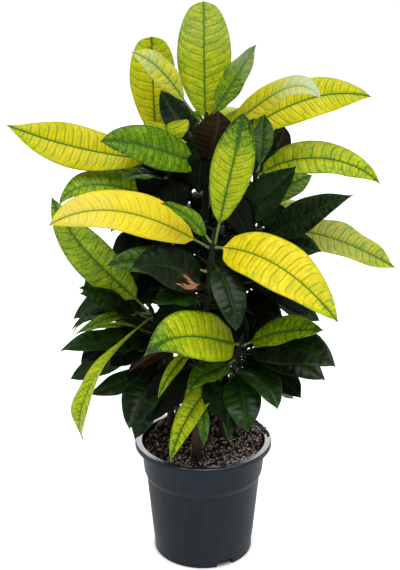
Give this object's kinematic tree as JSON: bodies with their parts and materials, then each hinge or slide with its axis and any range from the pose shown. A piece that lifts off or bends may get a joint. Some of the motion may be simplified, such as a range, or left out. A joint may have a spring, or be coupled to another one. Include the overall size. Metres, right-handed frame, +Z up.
{
  "type": "potted croton",
  "caption": "Bushy potted croton: woody stems with broad pointed yellow, lime and dark green leaves in a plain dark nursery pot filled with soil.",
  "frame": {"origin": "middle of the pot's foot, on the surface that the pot stands on", "axes": "+Z up, -Y towards the plant's front, +X to the right seen from the front"},
  "size_m": [0.5159, 0.3812, 0.75],
  "materials": {
    "pot_plastic": "satin moulded",
    "potting_soil": "loose, crumbly",
    "stem_bark": "rough bark",
    "leaf_yellow": "waxy",
    "leaf_lime": "waxy",
    "leaf_green": "glossy",
    "leaf_dark": "glossy"
  },
  "bodies": {
    "root": {"pot": "pot_plastic", "soil": "potting_soil", "stem_back": "stem_bark", "stem_left": "stem_bark", "stem_right": "stem_bark", "stem_front": "stem_bark", "stem_left_low": "stem_bark", "stem_right_low": "stem_bark", "leaf_back_01": "leaf_lime", "leaf_back_02": "leaf_lime", "leaf_back_03": "leaf_green", "leaf_back_04": "leaf_lime", "leaf_back_05": "leaf_yellow", "leaf_back_06": "leaf_green", "leaf_back_07": "leaf_dark", "leaf_back_08": "leaf_lime", "leaf_back_09": "leaf_lime", "leaf_back_10": "leaf_green", "leaf_back_11": "leaf_dark", "leaf_left_01": "leaf_lime", "leaf_left_02": "leaf_green", "leaf_left_03": "leaf_dark", "leaf_left_04": "leaf_dark", "leaf_left_05": "leaf_lime", "leaf_left_06": "leaf_lime", "leaf_left_07": "leaf_green", "leaf_left_08": "leaf_dark", "leaf_right_01": "leaf_lime", "leaf_right_02": "leaf_dark", "leaf_right_03": "leaf_green", "leaf_right_04": "leaf_lime", "leaf_right_05": "leaf_dark", "leaf_right_06": "leaf_lime", "leaf_right_07": "leaf_dark", "leaf_right_08": "leaf_dark", "leaf_front_01": "leaf_lime", "leaf_front_02": "leaf_yellow", "leaf_front_03": "leaf_yellow", "leaf_front_04": "leaf_green", "leaf_front_05": "leaf_dark", "leaf_front_06": "leaf_dark", "leaf_front_07": "leaf_green", "leaf_front_08": "leaf_dark", "leaf_left_low_01": "leaf_lime", "leaf_left_low_02": "leaf_lime", "leaf_left_low_03": "leaf_dark", "leaf_left_low_04": "leaf_dark", "leaf_left_low_05": "leaf_dark", "leaf_left_low_06": "leaf_dark", "leaf_left_low_07": "leaf_dark", "leaf_left_low_08": "leaf_dark", "leaf_right_low_01": "leaf_lime", "leaf_right_low_02": "leaf_green", "leaf_right_low_03": "leaf_dark", "leaf_right_low_04": "leaf_dark", "leaf_right_low_05": "leaf_dark", "leaf_right_low_06": "leaf_dark", "leaf_right_low_07": "leaf_dark", "leaf_right_low_08": "leaf_green", "leaf_right_low_09": "leaf_lime"}
  },
  "joints": []
}
